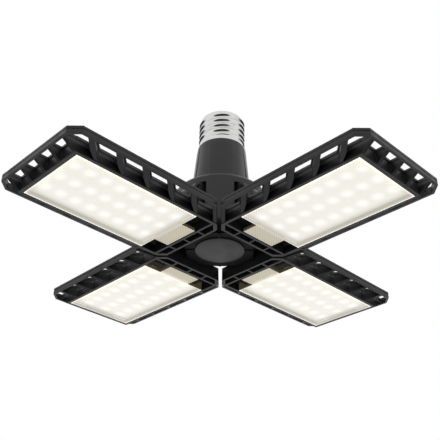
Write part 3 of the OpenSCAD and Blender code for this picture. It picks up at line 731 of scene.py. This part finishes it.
def circuitBoardMaterial(look):
    material, tree, shader = newMaterial("green circuit board")
    space = addNode(tree, "ShaderNodeTexCoord", (-900, 0))
    turn = addNode(tree, "ShaderNodeVectorRotate", (-750, 0), rotation_type="X_AXIS")
    turn.inputs["Angle"].default_value = math.pi / 2
    bricks = addNode(tree, "ShaderNodeTexBrick", (-600, 0))
    setValues(bricks, Scale=look["scale"], Mortar_Size=look["gap"], Color1=look["color"],
              Color2=look["secondColor"], Mortar=look["trackColor"])
    tree.links.new(space.outputs["Object"], turn.inputs["Vector"])
    tree.links.new(turn.outputs["Vector"], bricks.inputs["Vector"])
    tracks = bricks.outputs["Fac"]
    rough = mathNode(tree, "MULTIPLY_ADD", tracks, look["trackGloss"], look["roughness"],
                     at=(-200, -200))
    connect(tree, shader.inputs, Base_Color=bricks.outputs["Color"], Roughness=rough)
    bumpInto(tree, shader, tracks, mm(look["trackDepth"]), look["bump"])
    return material


for nodeName, look in smallParts.items():
    dress(glossyBody(look, smallPartFinish), nodeName)
dress(circuitBoardMaterial(circuitBoardLook), "driver_board")
print("small parts dressed")


# the floor keeps the shadow, well below the light and out of the photo's view
floorLook = {
    "drop": 1.2, "size": 2.4, "color": (0.86, 0.86, 0.86), "secondColor": (0.88, 0.88, 0.88),
    "noiseScale": 3.0, "noiseDetail": 2.0, "roughness": 0.7, "lift": 0.3,
}
skyLook = {"ambient": (0.78, 0.79, 0.8), "ambientStrength": 0.75}
# black cards round the set that only shiny surfaces show, in degrees;
# core and edge are half spreads
blackCards = {
    "frontCard": {"azimuth": -44, "elevation": -31, "core": 30, "edge": 39, "tone": 0.03},
    "leftCard": {"azimuth": -164, "elevation": -10, "core": 28, "edge": 37, "tone": 0.03},
    "rightCard": {"azimuth": 76, "elevation": -10, "core": 28, "edge": 37, "tone": 0.03},
}
softboxes = {
    "leftSoftbox": {"azimuth": -176, "elevation": 27, "distance": 1.1, "size": 0.2, "watts": 6.0},
    "rightSoftbox": {"azimuth": 88, "elevation": 27, "distance": 1.1, "size": 0.2, "watts": 6.0},
}
lampAim = (0, 0, -45)
cameraLook = {
    "place": (242.25, -233.95, -249.26), "direction": (-0.61508, 0.59340, 0.51918),
    "roll": 1.109, "lens": 60.406, "sensor": 36.0, "near": 0.01, "far": 50,
}


def seenWhite(tree, paths, at):
    # 1 where the eye, a reflection or a clear piece looks at it
    seen = mathNode(tree, "MAXIMUM", paths["Is Camera Ray"], paths["Is Glossy Ray"], at=at)
    return mathNode(tree, "MAXIMUM", seen, paths["Is Transmission Ray"], at=(at[0] + 150, at[1]))


def makeFloor(look):
    mesh = bpy.data.meshes.new("floor")
    half = look["size"] / 2
    z = cadBox[0][2] - look["drop"]
    corners = [(-half, -half, z), (half, -half, z), (half, half, z), (-half, half, z)]
    mesh.from_pydata(corners, [], [(0, 1, 2, 3)])
    floor = bpy.data.objects.new("floor", mesh)
    scene.collection.objects.link(floor)
    material, tree, shader = newMaterial("pale floor")
    noise = noiseOver(tree, look["noiseScale"], (-500, 0), Detail=look["noiseDetail"])
    color = mixColor(tree, noise, look["color"], look["secondColor"], at=(-200, 0))
    paths = addNode(tree, "ShaderNodeLightPath", (-200, -300)).outputs
    shown = seenWhite(tree, paths, (0, -300))
    lift = mathNode(tree, "MULTIPLY", shown, look["lift"], at=(300, -300))
    connect(tree, shader.inputs, Base_Color=color, Emission_Strength=lift)
    setValues(shader, Roughness=look["roughness"], Emission_Color=(*white, 1.0))
    mesh.materials.append(material)


def makeWorld(look, cards):
    world = bpy.data.worlds.new("studio")
    scene.world = world
    world.use_nodes = True
    tree = world.node_tree
    background = tree.nodes["Background"]
    paths = addNode(tree, "ShaderNodeLightPath", (-900, 0)).outputs
    dim = tuple(c * look["ambientStrength"] for c in look["ambient"])
    color = mixColor(tree, seenWhite(tree, paths, (-700, 0)), dim, white, at=(-300, 0))
    space = addNode(tree, "ShaderNodeTexCoord", (-900, -300))
    for i, card in enumerate(cards.values()):
        y = -300 - 200 * i
        facing = addNode(tree, "ShaderNodeVectorMath", (-700, y), operation="DOT_PRODUCT")
        tree.links.new(space.outputs["Generated"], facing.inputs[0])
        facing.inputs[1].default_value = towards(card["azimuth"], card["elevation"])
        edge, core = (math.cos(math.radians(card[name])) for name in ("edge", "core"))
        inside = ramp(tree, facing.outputs["Value"], edge, core, at=(-500, y))
        shown = mathNode(tree, "MULTIPLY", inside, paths["Is Glossy Ray"], at=(-300, y))
        color = mixColor(tree, shown, color, (card["tone"],) * 3, at=(-100 + 150 * i, -100))
    tree.links.new(color, background.inputs["Color"])
    background.inputs["Strength"].default_value = 1.0


def makeLamps(rig):
    aim = Vector(mm(*lampAim))
    for name, look in rig.items():
        light = bpy.data.lights.new(name, "AREA")
        light.shape = "SQUARE"
        light.size = look["size"]
        light.energy = look["watts"]
        lamp = bpy.data.objects.new(name, light)
        lamp.visible_glossy = False
        back = towards(look["azimuth"], look["elevation"])
        lamp.location = aim + back * look["distance"]
        lamp.rotation_euler = (-back).to_track_quat("-Z", "Y").to_euler()
        scene.collection.objects.link(lamp)


def makeCamera(look):
    data = bpy.data.cameras.new("camera")
    data.lens = look["lens"]
    data.sensor_width = look["sensor"]
    data.clip_start = look["near"]
    data.clip_end = look["far"]
    camera = bpy.data.objects.new("camera", data)
    scene.collection.objects.link(camera)
    ahead = Vector(look["direction"]).normalized()
    level = ahead.cross(Vector((0, 0, 1))).normalized()
    upright = level.cross(ahead)
    turn = math.radians(look["roll"])
    right = level * math.cos(turn) + upright * math.sin(turn)
    up = upright * math.cos(turn) - level * math.sin(turn)
    rotation = Matrix((right, up, -ahead)).transposed().to_4x4()
    camera.matrix_world = Matrix.Translation(Vector(mm(*look["place"]))) @ rotation
    scene.camera = camera


makeFloor(floorLook)
makeWorld(skyLook, blackCards)
makeLamps(softboxes)
makeCamera(cameraLook)
print("stage, lights and camera set")
